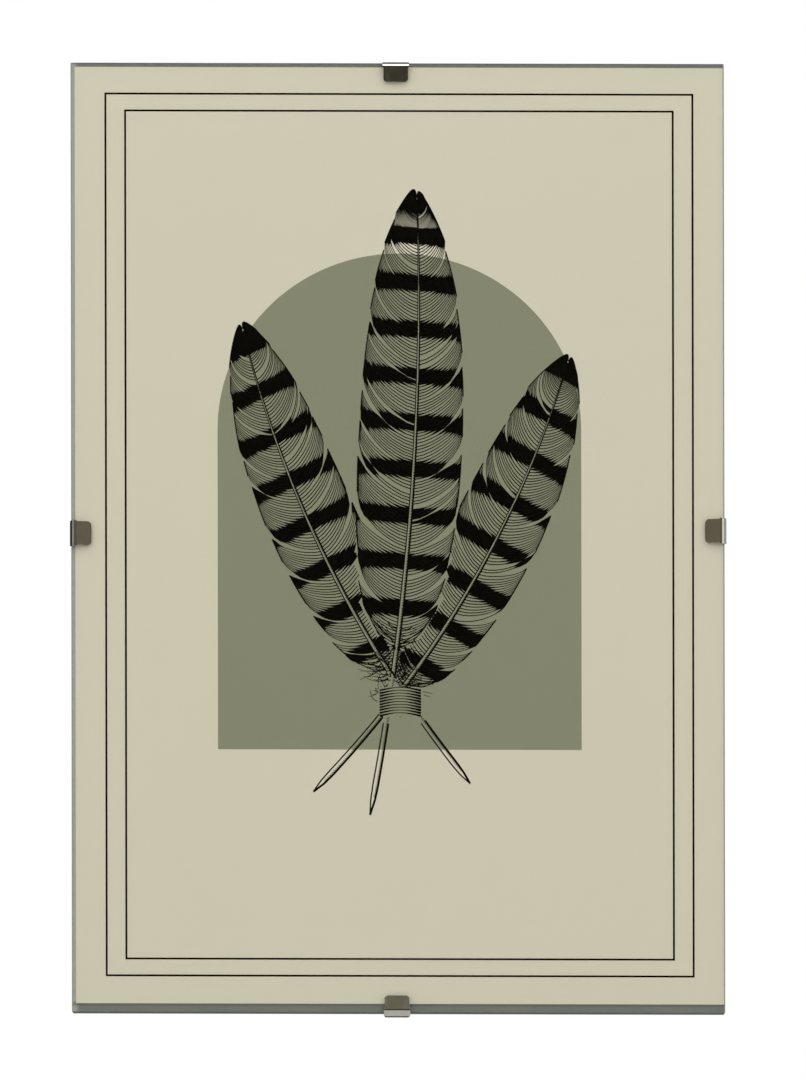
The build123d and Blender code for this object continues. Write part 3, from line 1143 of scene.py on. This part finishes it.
class CLIPFRAME_OT_stage(SharedOptions, bpy.types.Operator):
    """Camera, floor, lamp and the room's light"""

    bl_idname = "clip_frame.stage"
    bl_label = "Stage"

    def execute(self, context):
        context.scene.camera = self.camera()
        self.floor()
        self.flag()
        self.lamp()
        context.scene.world = self.room()
        context.scene.view_settings.view_transform = "Standard"
        return {"FINISHED"}

    def camera(self):
        """Looks up at the picture from a little below and to the left, without perspective."""
        values = settings("stage")
        turn = Euler((math.pi / 2 + values.tilt, 0, -values.turn)).to_matrix()
        turn = turn @ Matrix.Rotation(-values.roll, 3, "Z")
        offset = Vector((values.shift_right, -values.shift_down, values.distance))
        place = Vector((0, GLASS_LOW.y, 0)) + turn @ offset
        data = bpy.data.cameras.new("camera")
        data.type, data.ortho_scale, data.clip_end = "ORTHO", values.height, 100
        camera = placed("camera", data)
        camera.matrix_world = Matrix.Translation(place) @ turn.to_4x4()
        return camera

    def square(self, name, place, material):
        """A flat square, two metres wide before it is placed."""
        bm = bmesh.new()
        bmesh.ops.create_grid(bm, x_segments=1, y_segments=1, size=1.0, matrix=place)
        mesh = bpy.data.meshes.new(name)
        bm.to_mesh(mesh)
        bm.free()
        mesh.materials.append(material)
        return placed(name, mesh)

    def floor(self):
        """A pale floor below the picture."""
        values = settings("stage")
        place = Matrix.Translation((0, values.floor_back - FLOOR_HALF, -values.floor))
        pale = matt_material("pale_floor", PALE, 3.0, 0.985, 0.9)
        floor = self.square("floor", place @ Matrix.Scale(FLOOR_HALF, 4), pale)

    def flag(self):
        """A small dark card behind the foot of the frame, which only metal mirrors."""
        place = Matrix.Translation(FLAG_PLACE) @ Matrix.Rotation(math.pi / 2, 4, "X")
        dark = matt_material("dark_card", DARK, 300.0, 0.7, 0.95)
        flag = self.square("flag", place @ Matrix.Diagonal((*FLAG_HALF, 1, 1)), dark)
        for ray in ("camera", "diffuse", "transmission", "shadow"):
            setattr(flag, f"visible_{ray}", False)

    def lamp(self):
        """One large lamp high in front, a little to the left."""
        data = bpy.data.lights.new("key", "AREA")
        data.shape = "RECTANGLE"
        data.size, data.size_y = LAMP_SIZE
        data.energy = settings("stage").key
        turn = LAMP_PLACE.to_track_quat("Z", "Y").to_matrix().to_4x4()
        placed("key", data).matrix_world = Matrix.Translation(LAMP_PLACE) @ turn

    def room(self):
        """White where the camera looks, even light on the object, and cards for metal to mirror."""
        world = bpy.data.worlds.new("studio")
        world.use_nodes = True
        tree = world.node_tree
        tree.nodes.clear()
        x, y, z = apart(tree.nodes.new("ShaderNodeTexCoord").outputs["Generated"])
        azimuth = calc("DEGREES", calc("ARCTAN2", x, product(y, -1.0)))
        elevation = calc("DEGREES", calc("ARCSINE", z))
        way = {"Azimuth": azimuth, "Elevation": elevation, "Edge": CARD_EDGE}
        seen = ROOM
        for *bounds, shade in CARDS:
            card = use_group("studio_card", way | dict(zip(CARD_BOUNDS, bounds)))
            seen = tone(card["Mask"], seen, shade)
        path = tree.nodes.new("ShaderNodeLightPath").outputs
        light = tone(path["Is Glossy Ray"], times(WHITE, settings("stage").ambient), seen)
        # Light that leaves the pane backwards shows the white; forwards, it's a mirror image
        backwards = calc("GREATER_THAN", y, 0.0)
        through = product(path["Is Transmission Ray"], backwards)
        plain = calc("MAXIMUM", path["Is Camera Ray"], through)
        shown = node("ShaderNodeBackground", {"Color": tone(plain, light, WHITE)})
        node("ShaderNodeOutputWorld", {"Surface": shown.outputs[0]})
        return world


class CLIPFRAME_PT_panel(bpy.types.Panel):
    """Buttons for all the pieces"""

    bl_idname = "CLIPFRAME_PT_panel"
    bl_label = "Clip Frame"
    bl_space_type = "VIEW_3D"
    bl_region_type = "UI"
    bl_category = "Clip Frame"

    def draw(self, context):
        for operator in OPERATORS:
            self.layout.operator(operator.bl_idname)


GROUPS_OF_SETTINGS = {
    "glass": GlassSettings,
    "print": PrintSettings,
    "clips": ClipSettings,
    "back": BackSettings,
    "stage": StageSettings,
}
OPERATORS = (
    CLIPFRAME_OT_glass,
    CLIPFRAME_OT_sheet,
    CLIPFRAME_OT_border,
    CLIPFRAME_OT_arch,
    CLIPFRAME_OT_feathers,
    CLIPFRAME_OT_clips,
    CLIPFRAME_OT_board,
    CLIPFRAME_OT_hangers,
    CLIPFRAME_OT_stage,
)


CLASSES = (*GROUPS_OF_SETTINGS.values(), *OPERATORS, CLIPFRAME_PT_panel)


def register():
    """Adds the classes, and one group of settings of each kind to the scene."""
    for added in CLASSES:
        bpy.utils.register_class(added)
    for kind, group in GROUPS_OF_SETTINGS.items():
        setattr(bpy.types.Scene, f"clip_frame_{kind}", PointerProperty(type=group))


def unregister():
    """Takes all of that away again."""
    for kind in GROUPS_OF_SETTINGS:
        delattr(bpy.types.Scene, f"clip_frame_{kind}")
    for added in reversed(CLASSES):
        bpy.utils.unregister_class(added)


def main():
    register()
    bpy.ops.clip_frame.glass()
    bpy.ops.clip_frame.sheet()
    bpy.ops.clip_frame.border()
    bpy.ops.clip_frame.arch()
    bpy.ops.clip_frame.feathers()
    bpy.ops.clip_frame.clips()
    bpy.ops.clip_frame.board()
    bpy.ops.clip_frame.hangers()
    bpy.ops.clip_frame.stage()


if __name__ == "__main__":
    main()
